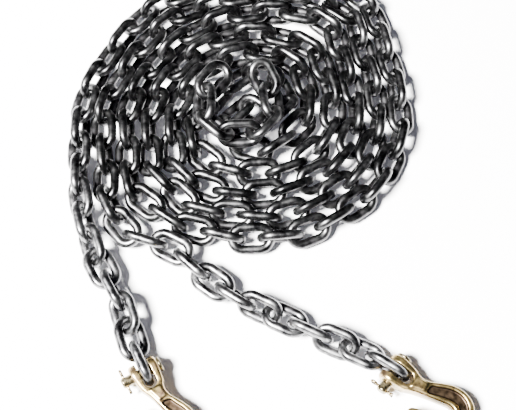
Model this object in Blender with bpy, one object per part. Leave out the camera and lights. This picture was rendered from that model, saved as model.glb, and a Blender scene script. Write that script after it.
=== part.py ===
"""Coil of steel transport chain, laid doubled from its middle, with a clevis grab hook on each end.

Metres, +Z up. The floor is z = 0 and the middle of the coil is at x = y = 0. The chain is laid link
by link: every link is turned in towards the turns already laid until its wire is just clear of them.
The two ends leave the coil side by side as tails, each to the pin of its own hook.
"""
import math

import bmesh
import bpy
import numpy as np
from mathutils import Matrix

# chain: the six-sided wires of a coil run meet, those of the tail links stay apart
WIRE_D = 0.010
PITCH = 0.031
LINK_W = 0.034
CRIMP_R = (LINK_W - WIRE_D) / 2
HALF_FLAT = (PITCH + WIRE_D) / 2 - CRIMP_R
TUBE_R = 0.0055
TAIL_TUBE_R = 0.0051
REST_R = 0.0051

# coil: links counted each way from the middle one
COIL_LINKS = {1: 56, -1: 72}
STEP = 0.0312
RUN_SLACK = 0.0022
MIDDLE_RUN = 12
RUN_LINKS = 18
CLEAR = 0.0107
START_HEADING = -35.0
MIDDLE_TURNS = (80.0, 70.0, 50.0)
SHARP_LINKS = 7
PULL_IN = 11.0
OVAL = 0.88
LEAN_ROLL = 31.0
CROSS_ROLL = 76.0
DROP = 0.0016
MIDDLE_RISE = 0.0025
MIDDLE_REACH = 4

# short stretch lying on the middle: where its first link lies, its heading, each link's turn and roll
TOP_START = (0.008, 0.028)
TOP_HEADING = 294.0
TOP_TURNS = (-19, -45, -47, -44, -50, -35)
TOP_ROLLS = (38, 134, 42, 124, 47, 133, 21)
TOP_REACH = 0.15
TOP_CLEAR = 0.0108
TOP_LINKED = (0.0075, 0.0093)
TOP_SINK = 0.0008

# tails: points passed on the way, the clevis pin, the hook's heading and the links' rolls
TIGHT_CROSSING = 64
LOOSER = 0.04
FIRST_SPAN = 0.486
TANGENT = 0.010
FIRST_RISE = 0.00035
LEFT_PATH = ((-0.1928, -0.0922), (-0.1836, -0.135), (-0.1705, -0.1711), (-0.1401, -0.2268))
LEFT_PIN = (-0.113, -0.2965)
LEFT_HEADING = -64.0
LEFT_HOOK_HEADING = -60.0
LEFT_ROLLS = (41, 103, 44, 116, 50, 166, 102, 38, 154, 90)
RIGHT_PATH = ((-0.1581, -0.1106), (-0.1464, -0.136), (-0.1327, -0.1488), (-0.0881, -0.1636),
              (-0.0472, -0.2005), (-0.013, -0.222), (0.068, -0.26))
RIGHT_PIN = (0.1395, -0.296)
RIGHT_HEADING = -33.0
RIGHT_HOOK_HEADING = -37.0
RIGHT_ROLLS = (117, 21, 108, 31, 109, 178, 114, 50, 166, 102, 38, 154, 90)

# hook, in its own frame: pin at the origin, +X away from the chain, throat towards -Y; the outlines
# and the foot of the ears are in millimetres
PIN_D = 0.011
PIN_GAP = 0.0004
PIN_HEIGHT = 0.016
PIN_TO_LINK = 0.0097
PIN_TAIL = -0.026
HEAD_Y = 0.01515
HEAD_T = 0.003
HEAD_R = 0.008
COTTER_Y = -0.022
COTTER_R = 0.0015
EYE_R = 0.0032
EAR_R = 0.012
EAR_Y = 0.01475
EAR_FOOT = ((18.5, 10), (18.5, -10))
SLOT_W = 0.0135
SLOT_END = 0.0195
HOOK_T = 0.020
HOOK_END = 0.092
EDGE = 0.0014
WEB_DEPTH = 0.003
BOSS_RISE = 0.001
OUTLINE = ((10, 14.7), (17, 12.6), (22, 10.2), (28, 9.8), (34, 11.5), (40, 15), (48, 19.5), (57, 23),
           (66, 24), (75, 22.4), (83, 17.5), (88.5, 10), (91.6, 1), (92, -8), (89.4, -17),
           (83.5, -24.6), (75, -29.6), (65, -31.8), (52, -32), (40, -31.4), (34, -30), (31.4, -27),
           (31.8, -23.4), (34.6, -20.8), (42, -17.6), (52, -14), (60, -11.4), (64.5, -10.6),
           (68.8, -9.2), (71, -5.8), (70.8, -1.6), (68, 1.6), (63.5, 2.6), (57, 1.2), (46, -1.8),
           (36, -4.6), (27, -7.6), (19, -11.2), (10, -14.7))
WEB = ((37.5, -0.6), (37, 8), (44, 12.2), (52, 16.4), (60, 18.8), (68, 18.8), (76, 15.6), (82, 9),
       (84.6, 0), (83.6, -9), (79, -15.6), (72, -19), (68, -20), (72, -14.6), (76, -9), (76.6, -3),
       (74, 3.4), (68.6, 7), (60, 7), (50, 4))
BOSS = ((20.5, -6), (20.5, 6.5), (33, 8), (34.5, -1.5))


def clear_scene():
    for obj in list(bpy.data.objects):
        bpy.data.objects.remove(obj, do_unlink=True)


def new_collection(name):
    group = bpy.data.collections.new(name)
    bpy.context.scene.collection.children.link(group)
    return group


def steel(name, colour, metallic, roughness):
    mat = bpy.data.materials.new(name)
    mat.use_nodes = True
    shader = mat.node_tree.nodes["Principled BSDF"]
    shader.inputs["Base Color"].default_value = (*colour, 1.0)
    shader.inputs["Metallic"].default_value = metallic
    shader.inputs["Roughness"].default_value = roughness
    return mat


def link_line():
    """Centre line of the link's wire as an eight-sided ring of points."""
    corner = CRIMP_R * math.tan(math.radians(22.5))
    tip = HALF_FLAT + CRIMP_R
    ring = [(HALF_FLAT + corner, CRIMP_R), (tip, corner), (tip, -corner), (HALF_FLAT + corner, -CRIMP_R)]
    ring += [(-x, -y) for x, y in ring]
    return ring


def sampled_line():
    """Points about every 2.4 mm along that ring."""
    ring = np.array(link_line())
    following = np.roll(ring, -1, axis=0)
    spans = [a + (b - a) * t for a, b in zip(ring, following)
             for t in np.linspace(0, 1, 1 + int(np.hypot(*(b - a)) / 0.0024))[:-1, None]]
    return np.array(spans)


LINE = sampled_line()


def wire_points(pose):
    """Points on the wire of a link lying at x, y, z, heading and roll."""
    x, y, z, heading, roll = pose
    along = np.array([math.cos(heading), math.sin(heading), 0.0])
    flat = math.cos(roll)
    across = np.array([-math.sin(heading) * flat, math.cos(heading) * flat, math.sin(roll)])
    return np.array([x, y, z]) + LINE[:, :1] * along + LINE[:, 1:] * across


def nearest(points, others):
    return np.sqrt(((points[:, None] - others[None]) ** 2).sum(-1)).min()


def stand_height(roll):
    return CRIMP_R * abs(math.sin(roll)) + REST_R


def roll_and_height(i):
    """Every second link leans with its inner wire up and the one between stands steeply."""
    settle = min(abs(i) / 6.0, 1.0)
    low = 45.0 + (LEAN_ROLL - 45.0) * settle
    high = low + 90.0 + (CROSS_ROLL - 90.0) * settle
    sway = 2.5 * math.sin(1.7 * i) + 3.0 * math.sin(0.61 * i + 1.0)
    height = stand_height(math.radians(high + sway))
    if (i % 2 == 0) == (i >= 0):
        return math.radians(low + sway), height - DROP
    return math.radians(high + sway), height


def unit(heading):
    return np.array([math.cos(heading), math.sin(heading)])


def steepest_turn(n, joint, heading):
    """Most that link n turns in: sharply round the middle, then little more than the oval asks for."""
    if n <= SHARP_LINKS:
        return MIDDLE_TURNS[min(n, len(MIDDLE_TURNS)) - 1]
    around = math.atan2(joint[1] / OVAL, joint[0])
    tangent = math.atan2(OVAL * math.cos(around), -math.sin(around))
    turn = (tangent - heading + math.pi) % (2 * math.pi) - math.pi
    return min(max(math.degrees(turn) + PULL_IN, 0.0), 40.0)


def run_of(i):
    """Number of the row that link i belongs to: the middle is row 0, then come about a turn each."""
    number = max(0, math.ceil((abs(i) - MIDDLE_RUN) / RUN_LINKS))
    return number if i >= 0 else -number


def first_clear_turn(joint, heading, top, i, side, laid, lines):
    """Largest turn inwards at which link i, and room for the next, are clear of the links laid."""
    others = [k for k in laid if k != i - side]
    centres = np.array([laid[k][:2] for k in others]).reshape(-1, 2)
    roll, height = roll_and_height(i)
    next_roll, next_height = roll_and_height(i + side)
    for turn in np.arange(top, -35.0, -1.0):
        ahead = heading + math.radians(turn)
        centre = joint + unit(ahead) * STEP / 2
        pose = (*centre, height, ahead, roll)
        close = [k for k, gap in zip(others, np.hypot(*(centres - centre).T)) if gap < 0.066]
        if not close:
            return turn, pose
        wires = np.vstack([lines[k] for k in close])
        if nearest(wire_points(pose), wires) < CLEAR:
            continue
        beyond = ahead + math.radians(min(6.0, top))
        room = joint + unit(ahead) * STEP + unit(beyond) * STEP / 2
        if nearest(wire_points((*room, next_height, beyond, next_roll)), wires) >= CLEAR - 0.0012:
            return turn, pose
    return None, None


def lay_coil():
    """Lay both halves of the chain outwards from the middle link, the one that lags first."""
    start = math.radians(START_HEADING)
    roll, height = roll_and_height(0)
    laid = {0: (0.0, 0.0, height, start, roll)}
    lines = {0: wire_points(laid[0])}
    arms = {1: [(unit(start) * STEP / 2, start, 0.0)], -1: [(-unit(start) * STEP / 2, start + math.pi, 0.0)]}
    limit = {}
    while True:
        turned = {side: sum(entry[2] for entry in arms[side]) for side in arms}
        open_sides = [side for side in arms if len(arms[side]) <= COIL_LINKS[side]]
        if not open_sides:
            break
        side = min(open_sides, key=lambda s: (turned[s], -s))
        joint, heading, _ = arms[side][-1]
        i = side * len(arms[side])
        top = min(steepest_turn(abs(i), joint, heading), limit.get(i, 90.0))
        turn, pose = first_clear_turn(joint, heading, top, i, side, laid, lines)
        if turn is None:
            # trapped: take the link before back up and lay it further out
            before = i - side
            limit[before] = arms[side].pop()[2] - 4.0
            limit.pop(i, None)
            del laid[before], lines[before]
            continue
        laid[i] = pose
        lines[i] = wire_points(pose)
        step = STEP - (RUN_SLACK if run_of(i) != run_of(i + side) else 0.0)
        arms[side].append((joint + unit(pose[3]) * step, pose[3], turn))
    for i in range(1 - MIDDLE_REACH, MIDDLE_REACH):
        # the links of the sharp middle ride up on one another
        x, y, z, heading, roll = laid[i]
        laid[i] = (x, y, z + MIDDLE_RISE * math.cos(math.pi / 2 * i / MIDDLE_REACH) ** 2, heading, roll)
    return laid, {side: arms[side][-1][0] for side in arms}


def sloped_wire(pose):
    """Points on the wire of a link that also slopes, and the direction it points in."""
    x, y, z, heading, roll, pitch = pose
    flat = math.cos(pitch)
    along = np.array([math.cos(heading) * flat, math.sin(heading) * flat, math.sin(pitch)])
    side = np.array([-math.sin(heading), math.cos(heading), 0.0])
    across = math.cos(roll) * side + math.sin(roll) * np.cross(along, side)
    return np.array([x, y, z]) + LINE[:, :1] * along + LINE[:, 1:] * across, along


def is_clear(wire, others):
    close = others[np.abs(others.mean(1) - wire.mean(0)).max(-1) < 0.05].reshape(-1, 3)
    return wire[:, 2].min() > REST_R and (not len(close) or nearest(wire, close) >= TOP_CLEAR)


def lay_top(laid):
    """A stretch laid over the middle: every link slopes down as steeply as those under it allow."""
    under = np.array([wire_points(pose) for pose in laid.values() if math.hypot(*pose[:2]) < TOP_REACH])
    heading = math.radians(TOP_HEADING)
    for z in np.arange(0.020, 0.060, 0.001):
        pose = (*TOP_START, z, heading, math.radians(TOP_ROLLS[0]), 0.0)
        wire, along = sloped_wire(pose)
        if is_clear(wire, under):
            break
    stretch = [pose]
    joint = np.array(pose[:3]) + along * STEP / 2
    for turn, roll in zip(TOP_TURNS, TOP_ROLLS[1:]):
        heading += math.radians(turn)
        for pitch in np.radians(np.arange(-56, 61, 4.0)):
            along = sloped_wire((0, 0, 0, heading, math.radians(roll), pitch))[1]
            pose = (*(joint + along * STEP / 2), heading, math.radians(roll), pitch)
            beyond = sloped_wire(pose)[0]
            if is_clear(beyond, under) and TOP_LINKED[0] < nearest(beyond, wire) < TOP_LINKED[1]:
                break
        under = np.concatenate([under, wire[None]])
        wire = beyond
        stretch.append(pose)
        joint = joint + along * STEP
    return [(x, y, z - TOP_SINK, *turned) for x, y, z, *turned in stretch]


def lay_tail(start, path, pin, heading, rolls):
    """Poses of the links from the coil's end to the hook, spaced along a path of straight stretches."""
    aim = unit(math.radians(heading))
    end = np.array(pin) - aim * PIN_TO_LINK
    route = np.array([start, *path, end - aim * STEP / 2, end, end + aim * STEP / 2])
    length = np.concatenate([[0.0], np.cumsum(np.hypot(*np.diff(route, axis=0).T))])
    crossing = np.abs(np.diff(rolls))
    crossing = np.minimum(crossing, 180 - crossing)
    spans = np.concatenate([[FIRST_SPAN], 1 + LOOSER * np.clip((crossing - TIGHT_CROSSING) / 10, 0, 1)])
    at = np.cumsum(spans) * length[-2] / spans.sum()
    before, centres, after = [
        np.column_stack([np.interp(at + shift, length, route[:, axis]) for axis in (0, 1)])
        for shift in (-TANGENT, 0.0, TANGENT)]
    heights = stand_height(math.radians(rolls[-1])) - np.clip(2 - np.arange(len(rolls)), 0, 2) * FIRST_RISE
    ahead = np.arctan2(*(after - before).T[::-1])
    return [(*centre, z, h, math.radians(r)) for centre, z, h, r in zip(centres, heights, ahead, rolls)]


def pose_matrix(pose):
    x, y, z, heading, roll, pitch = (*pose, 0.0)[:6]
    turn = Matrix.Rotation(heading, 4, "Z") @ Matrix.Rotation(-pitch, 4, "Y") @ Matrix.Rotation(roll, 4, "X")
    return Matrix.Translation((x, y, z)) @ turn


def hook_frame(pin, heading):
    """The hook hangs from its pin and its bend rests on the floor."""
    tilt = math.atan2(PIN_HEIGHT - HOOK_T / 2, HOOK_END)
    turn = Matrix.Rotation(math.radians(heading), 4, "Z") @ Matrix.Rotation(tilt, 4, "Y")
    return Matrix.Translation((*pin, PIN_HEIGHT)) @ turn


def cleaned(mesh):
    bm = bmesh.new()
    bm.from_mesh(mesh)
    bmesh.ops.remove_doubles(bm, verts=bm.verts, dist=0.00001)
    bmesh.ops.recalc_face_normals(bm, faces=bm.faces)
    bm.to_mesh(mesh)
    bm.free()
    return mesh


def slab(name, outline, half, edge=0.0):
    """Outline in millimetres, filled and given thickness both ways, with its edges cut back."""
    curve = bpy.data.curves.new(name, "CURVE")
    curve.dimensions = "2D"
    curve.fill_mode = "BOTH"
    curve.extrude = half - edge
    curve.bevel_depth = edge
    curve.bevel_resolution = 0
    curve.offset = -edge
    spline = curve.splines.new("POLY")
    spline.points.add(len(outline) - 1)
    for point, (x, y) in zip(spline.points, outline):
        point.co = (x / 1000, y / 1000, 0.0, 1.0)
    spline.use_cyclic_u = True
    holder = bpy.data.objects.new(name, curve)
    mesh = bpy.data.meshes.new_from_object(holder)
    bpy.data.objects.remove(holder)
    return cleaned(mesh)


def box(name, low, high):
    mesh = bpy.data.meshes.new(name)
    bm = bmesh.new()
    bmesh.ops.create_cube(bm, size=1.0)
    for vert in bm.verts:
        vert.co = [a + (b - a) * (c + 0.5) for a, b, c in zip(low, high, vert.co)]
    bm.to_mesh(mesh)
    bm.free()
    return mesh


def cross_rod(name, radius, y_from, y_to):
    """Round bar along Y."""
    mesh = bpy.data.meshes.new(name)
    bm = bmesh.new()
    bmesh.ops.create_cone(bm, cap_ends=True, segments=16, radius1=radius, radius2=radius,
                          depth=y_to - y_from)
    bmesh.ops.rotate(bm, verts=bm.verts, cent=(0, 0, 0), matrix=Matrix.Rotation(math.pi / 2, 3, "X"))
    bmesh.ops.translate(bm, verts=bm.verts, vec=(0, (y_from + y_to) / 2, 0))
    bm.to_mesh(mesh)
    bm.free()
    return mesh


def wire_mesh(name, points, radius, closed):
    """Six-sided wire along points in metres."""
    curve = bpy.data.curves.new(name, "CURVE")
    curve.dimensions = "3D"
    curve.bevel_depth = radius
    curve.bevel_resolution = 1
    curve.use_fill_caps = not closed
    spline = curve.splines.new("POLY")
    spline.points.add(len(points) - 1)
    for point, co in zip(spline.points, points):
        point.co = (*co, 1.0)
    spline.use_cyclic_u = closed
    holder = bpy.data.objects.new(name, curve)
    mesh = bpy.data.meshes.new_from_object(holder)
    bpy.data.objects.remove(holder)
    return cleaned(mesh)


def add_object(name, mesh, group, mat):
    obj = bpy.data.objects.new(name, mesh)
    group.objects.link(obj)
    mesh.materials.clear()
    mesh.materials.append(mat)
    return obj


def add_tool(name, mesh, group, place=None):
    """Hidden object that a Boolean joins to a part or cuts from it."""
    obj = bpy.data.objects.new(name, mesh)
    group.objects.link(obj)
    obj.matrix_world = place or Matrix.Identity(4)
    obj.hide_render = True
    obj.display_type = "WIRE"
    return obj


def boolean(obj, tool, operation):
    mod = obj.modifiers.new(operation.lower(), "BOOLEAN")
    mod.object = tool
    mod.operation = operation
    mod.solver = "EXACT"


def links_mesh(name, base, poses):
    """One mesh of several links that don't touch one another."""
    merged = bpy.data.meshes.new(name)
    verts = []
    faces = []
    shape = [v.co.copy() for v in base.vertices]
    rings = [tuple(p.vertices) for p in base.polygons]
    for pose in poses:
        first = len(verts)
        place = pose_matrix(pose)
        verts += [place @ co for co in shape]
        faces += [tuple(first + v for v in ring) for ring in rings]
    merged.from_pydata(verts, [], faces)
    return merged


def joined_row(name, poses, base, parts, tools, mat):
    """Links hung in one another as one solid: every second one, joined to those between."""
    obj = add_object(name, links_mesh(name, base, poses[::2]), parts, mat)
    between = links_mesh(name + "_between", base, poses[1::2])
    boolean(obj, add_tool(between.name, between, tools), "UNION")


def coil_runs(laid, stretch, parts, tools, mat):
    """The coil's links in rows of about a turn, and the stretch lying on its middle."""
    base = wire_mesh("coil_link", [(x, y, 0.0) for x, y in link_line()], TUBE_R, True)
    runs = {}
    for i in sorted(laid):
        runs.setdefault(run_of(i), []).append(laid[i])
    for number, (_, row) in enumerate(sorted(runs.items()), 1):
        joined_row("coil_run_%02d" % number, row, base, parts, tools, mat)
    joined_row("coil_top_stretch", stretch, base, parts, tools, mat)


def tail_links(side, poses, parts, mat):
    base = wire_mesh("tail_link", [(x, y, 0.0) for x, y in link_line()], TAIL_TUBE_R, True)
    for number, pose in enumerate(poses, 1):
        name = "%s_tail_link_%02d" % (side, number)
        add_object(name, links_mesh(name, base, [pose]), parts, mat)


def clevis_side():
    """Side view of the clevis ears in millimetres: round at the pin and tapering to the neck."""
    turns = [math.radians(a) for a in range(84, 290, 16)]
    return [(1000 * EAR_R * math.cos(a), 1000 * EAR_R * math.sin(a)) for a in turns] + list(EAR_FOOT[::-1])


def hook_body(side, frame, parts, tools, mat):
    """Forged hook: ears, raised block on the neck and thinned web round the back."""
    name = side + "_hook_body"
    obj = add_object(name, slab(name, OUTLINE, HOOK_T / 2, EDGE), parts, mat)
    ears = slab(name + "_ears", clevis_side(), EAR_Y, EDGE)
    ears.transform(Matrix.Rotation(math.pi / 2, 4, "X"))
    rise = HOOK_T / 2 + BOSS_RISE
    cuts = [box(name + "_slot", (-0.02, -SLOT_W / 2, -0.02), (SLOT_END, SLOT_W / 2, 0.02)),
            cross_rod(name + "_hole", PIN_D / 2 + PIN_GAP, -0.02, 0.02)]
    for way in (1, -1):
        web = slab("%s_web_%s" % (name, "top" if way > 0 else "under"), WEB, WEB_DEPTH)
        web.transform(Matrix.Translation((0, 0, way * HOOK_T / 2)))
        cuts.append(web)
    boolean(obj, add_tool(name + "_ears", ears, tools, frame), "UNION")
    boolean(obj, add_tool(name + "_boss", slab(name + "_boss", BOSS, rise, 0.0008), tools, frame), "UNION")
    for cut in cuts:
        boolean(obj, add_tool(cut.name, cut, tools, frame), "DIFFERENCE")
    obj.matrix_world = frame


def clevis_pin(side, frame, parts, tools, mat):
    """Round pin with a flat head at one end and a hole for the split pin near the other."""
    name = side + "_clevis_pin"
    obj = add_object(name, cross_rod(name, PIN_D / 2, PIN_TAIL, HEAD_Y + HEAD_T / 2), parts, mat)
    head = cross_rod(name + "_head", HEAD_R, HEAD_Y, HEAD_Y + HEAD_T)
    boolean(obj, add_tool(name + "_head", head, tools, frame), "UNION")
    hole = wire_mesh(name + "_hole", [(-0.01, COTTER_Y, 0), (0.01, COTTER_Y, 0)], COTTER_R + 0.0005, False)
    boolean(obj, add_tool(name + "_hole", hole, tools, frame), "DIFFERENCE")
    obj.matrix_world = frame


def cotter_pin(side, frame, parts, tools, mat):
    """Split pin: an eye on the chain's side and two legs spread apart."""
    name = side + "_cotter_pin"
    eye = -PIN_D / 2 - 0.0006 - EYE_R - COTTER_R
    ring = [(eye + EYE_R * math.cos(a), COTTER_Y, EYE_R * math.sin(a))
            for a in (math.radians(45 * k) for k in range(8))]
    obj = add_object(name, wire_mesh(name, ring, COTTER_R, True), parts, mat)
    shank = [(eye + EYE_R, COTTER_Y, 0), (0.0078, COTTER_Y, 0), (0.0105, COTTER_Y, 0.0032)]
    leg = [(0.0066, COTTER_Y, -0.0004), (0.0086, COTTER_Y, -0.0026), (0.0116, COTTER_Y, -0.0038)]
    for number, line, radius in ((1, shank, COTTER_R), (2, leg, COTTER_R * 0.93)):
        piece = wire_mesh("%s_leg_%d" % (name, number), line, radius, False)
        boolean(obj, add_tool(piece.name, piece, tools, frame), "UNION")
    obj.matrix_world = frame


clear_scene()
parts = new_collection("parts")
tools = new_collection("tools")
bare_steel = steel("chain_steel", (0.33, 0.33, 0.34), 1.0, 0.25)
chromate = steel("hook_chromate", (0.62, 0.47, 0.22), 1.0, 0.35)
zinc = steel("pin_zinc", (0.55, 0.52, 0.42), 1.0, 0.35)

laid, ends = lay_coil()
coil_runs(laid, lay_top(laid), parts, tools, bare_steel)
left_tail = lay_tail(ends[-1], LEFT_PATH, LEFT_PIN, LEFT_HEADING, LEFT_ROLLS)
right_tail = lay_tail(ends[1], RIGHT_PATH, RIGHT_PIN, RIGHT_HEADING, RIGHT_ROLLS)
tail_links("left", left_tail, parts, bare_steel)
tail_links("right", right_tail, parts, bare_steel)
for side, pin, heading in (("left", LEFT_PIN, LEFT_HOOK_HEADING), ("right", RIGHT_PIN, RIGHT_HOOK_HEADING)):
    place = hook_frame(pin, heading)
    hook_body(side, place, parts, tools, chromate)
    clevis_pin(side, place, parts, tools, zinc)
    cotter_pin(side, place, parts, tools, zinc)
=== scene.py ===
"""A coil of steel chain with a grab hook on each end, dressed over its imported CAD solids.

Metres, +Z up. The floor is z = 0 and the middle of the coil is at x = y = 0.
"""

import math

import bmesh
import bpy
import numpy as np
from mathutils import Matrix, Vector


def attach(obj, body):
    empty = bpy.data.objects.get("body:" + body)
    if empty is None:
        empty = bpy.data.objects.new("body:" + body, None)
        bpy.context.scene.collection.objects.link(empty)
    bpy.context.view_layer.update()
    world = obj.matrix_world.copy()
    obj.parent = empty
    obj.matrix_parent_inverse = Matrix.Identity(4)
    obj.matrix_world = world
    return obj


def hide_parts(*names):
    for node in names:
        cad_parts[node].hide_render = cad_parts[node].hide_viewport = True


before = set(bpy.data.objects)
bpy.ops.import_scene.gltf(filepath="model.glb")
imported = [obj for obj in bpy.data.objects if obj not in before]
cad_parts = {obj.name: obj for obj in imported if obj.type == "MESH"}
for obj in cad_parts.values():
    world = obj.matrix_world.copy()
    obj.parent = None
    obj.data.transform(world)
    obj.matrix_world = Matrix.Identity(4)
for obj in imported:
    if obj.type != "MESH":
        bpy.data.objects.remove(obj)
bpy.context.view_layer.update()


# The lay of the chain
# One length of welded steel chain is doubled at its middle and wound flat from there, so its two
# halves run round side by side. It is laid link by link by the same rule as the solids, and nothing
# fixes it. Headings, turns and rolls are in degrees where they are given.

# the link's bar, the line of its middle and the height that line lies at
WIRE_D = 0.010
PITCH = 0.031
LINK_W = 0.034
BEND_R = (LINK_W - WIRE_D) / 2
HALF_FLAT = (PITCH + WIRE_D) / 2 - BEND_R
HALF_CORNER = 22.5
SAMPLE_STEP = 0.0024
REST_R = 0.0051

# the two halves: links 1, 2, .. one way from the middle link 0 and -1, -2, .. the other
COIL_LINKS = {1: 56, -1: 72}
STEP = 0.0312
RUN_SLACK = 0.0022
MIDDLE_RUN = 12
RUN_LINKS = 18
START_HEADING = -35.0

# how sharply they turn in
MIDDLE_TURNS = (80.0, 70.0, 50.0)
SHARP_LINKS = 7
PULL_IN = 11.0
OVAL = 0.88
LARGEST_TURN = 40.0
LEAST_TURN = -35.0
TURN_STEP = 1.0
NEXT_TURN = 6.0
TAKE_BACK = 4.0

# how close the middle lines of two links' wires may come, and from what distance between the
# links that is measured
CLEAR = 0.0107
NEXT_EASE = 0.0012
NEIGHBOUR = 0.066

# how they roll about their length and how high they lie
MIDDLE_ROLL = 45.0
LEAN_ROLL = 31.0
SQUARE = 90.0
CROSS_ROLL = 76.0
SETTLED_BY = 6.0
QUICK_SWAY, QUICK_RATE = 2.5, 1.7
SLOW_SWAY, SLOW_RATE, SLOW_START = 3.0, 0.61, 1.0
DROP = 0.0016
MIDDLE_RISE = 0.0025
MIDDLE_REACH = 4

# the stretch over the middle
TOP_START = (0.008, 0.028)
TOP_HEADING = 294.0
TOP_TURNS = (-19, -45, -47, -44, -50, -35)
TOP_ROLLS = (38, 134, 42, 124, 47, 133, 21)
TOP_HEIGHTS = (0.020, 0.060, 0.001)
TOP_SLOPES = (-56, 61, 4.0)
TOP_REACH = 0.15
TOP_NEIGHBOUR = 0.05
TOP_CLEAR = 0.0108
TOP_LINKED = (0.0075, 0.0093)
TOP_SINK = 0.0008

# the tails, from the coil's two ends to the pins of the hooks
LEFT_PATH = ((-0.1928, -0.0922), (-0.1836, -0.135), (-0.1705, -0.1711), (-0.1401, -0.2268))
LEFT_PIN = (-0.113, -0.2965)
LEFT_HEADING = -64.0
LEFT_ROLLS = (41, 103, 44, 116, 50, 166, 102, 38, 154, 90)
RIGHT_PATH = ((-0.1581, -0.1106), (-0.1464, -0.136), (-0.1327, -0.1488), (-0.0881, -0.1636),
              (-0.0472, -0.2005), (-0.013, -0.222), (0.068, -0.26))
RIGHT_PIN = (0.1395, -0.296)
RIGHT_HEADING = -33.0
RIGHT_ROLLS = (117, 21, 108, 31, 109, 178, 114, 50, 166, 102, 38, 154, 90)
PIN_TO_LINK = 0.0097
FIRST_SPAN = 0.486
TIGHT_CROSSING = 64
CROSSING_SPREAD = 10
LOOSER = 0.04
TANGENT = 0.010
RISING_LINKS = 2
FIRST_RISE = 0.00035


def link_line():
    """Centre line of the link's wire as an eight-sided ring of points."""
    corner = BEND_R * math.tan(math.radians(HALF_CORNER))
    tip = HALF_FLAT + BEND_R
    shoulder = HALF_FLAT + corner
    ring = [(shoulder, BEND_R), (tip, corner), (tip, -corner), (shoulder, -BEND_R)]
    ring += [(-x, -y) for x, y in ring]
    return ring


def sampled_line():
    """Points about every 2.4 mm along that ring."""
    ring = np.array(link_line())
    following = np.roll(ring, -1, axis=0)
    spans = [a + (b - a) * t for a, b in zip(ring, following)
             for t in np.linspace(0, 1, 1 + int(np.hypot(*(b - a)) / SAMPLE_STEP))[:-1, None]]
    return np.array(spans)


LINE = sampled_line()


def wire_points(pose):
    """Points along the middle of a link's wire. Its pose is x, y, z in metres, then its heading and
    its roll about its own length in radians."""
    x, y, z, heading, roll = pose
    along = np.array([math.cos(heading), math.sin(heading), 0.0])
    flat = math.cos(roll)
    across = np.array([-math.sin(heading) * flat, math.cos(heading) * flat, math.sin(roll)])
    return np.array([x, y, z]) + LINE[:, :1] * along + LINE[:, 1:] * across


def nearest(points, others):
    """Shortest distance between two sets of points."""
    return np.sqrt(((points[:, None] - others[None]) ** 2).sum(-1)).min()


def stand_height(roll):
    """Height of the middle of a link that stands on the floor: its wire's lower side comes down by
    the bend's radius times the sine of the roll."""
    return BEND_R * abs(math.sin(roll)) + REST_R


def roll_and_height(i):
    """Every second link leans with its inner wire up and the one between stands steeply. Both sway
    by two sine waves along the chain, and near the middle they stand square to each other."""
    settle = min(abs(i) / SETTLED_BY, 1.0)
    low = MIDDLE_ROLL + (LEAN_ROLL - MIDDLE_ROLL) * settle
    high = low + SQUARE + (CROSS_ROLL - SQUARE) * settle
    sway = QUICK_SWAY * math.sin(QUICK_RATE * i) + SLOW_SWAY * math.sin(SLOW_RATE * i + SLOW_START)
    height = stand_height(math.radians(high + sway))
    if (i % 2 == 0) == (i >= 0):
        return math.radians(low + sway), height - DROP
    return math.radians(high + sway), height


def unit(heading):
    """Direction of length 1 on the floor."""
    return np.array([math.cos(heading), math.sin(heading)])


def steepest_turn(n, joint, heading):
    """Most that link n turns in: sharply round the middle, then from its heading to the tangent of
    the oval through the joint and a little more."""
    if n <= SHARP_LINKS:
        return MIDDLE_TURNS[min(n, len(MIDDLE_TURNS)) - 1]
    around = math.atan2(joint[1] / OVAL, joint[0])
    tangent = math.atan2(OVAL * math.cos(around), -math.sin(around))
    turn = (tangent - heading + math.pi) % (2 * math.pi) - math.pi
    return min(max(math.degrees(turn) + PULL_IN, 0.0), LARGEST_TURN)


def run_of(i):
    """Number of the row link i belongs to: the middle is row 0, then come about a turn each."""
    number = max(0, math.ceil((abs(i) - MIDDLE_RUN) / RUN_LINKS))
    return number if i >= 0 else -number


def first_clear_turn(joint, heading, top, i, side, laid, lines):
    """Largest turn inwards at which link i, and room for the next, are clear of the links laid."""
    others = [k for k in laid if k != i - side]
    centres = np.array([laid[k][:2] for k in others]).reshape(-1, 2)
    roll, height = roll_and_height(i)
    next_roll, next_height = roll_and_height(i + side)
    for turn in np.arange(top, LEAST_TURN, -TURN_STEP):
        ahead = heading + math.radians(turn)
        centre = joint + unit(ahead) * STEP / 2
        pose = (*centre, height, ahead, roll)
        away = np.hypot(*(centres - centre).T)
        close = [k for k, gap in zip(others, away) if gap < NEIGHBOUR]
        if not close:
            return turn, pose
        wires = np.vstack([lines[k] for k in close])
        if nearest(wire_points(pose), wires) < CLEAR:
            continue
        beyond = ahead + math.radians(min(NEXT_TURN, top))
        room = joint + unit(ahead) * STEP + unit(beyond) * STEP / 2
        next_wire = wire_points((*room, next_height, beyond, next_roll))
        if nearest(next_wire, wires) >= CLEAR - NEXT_EASE:
            return turn, pose
    return None, None


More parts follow.
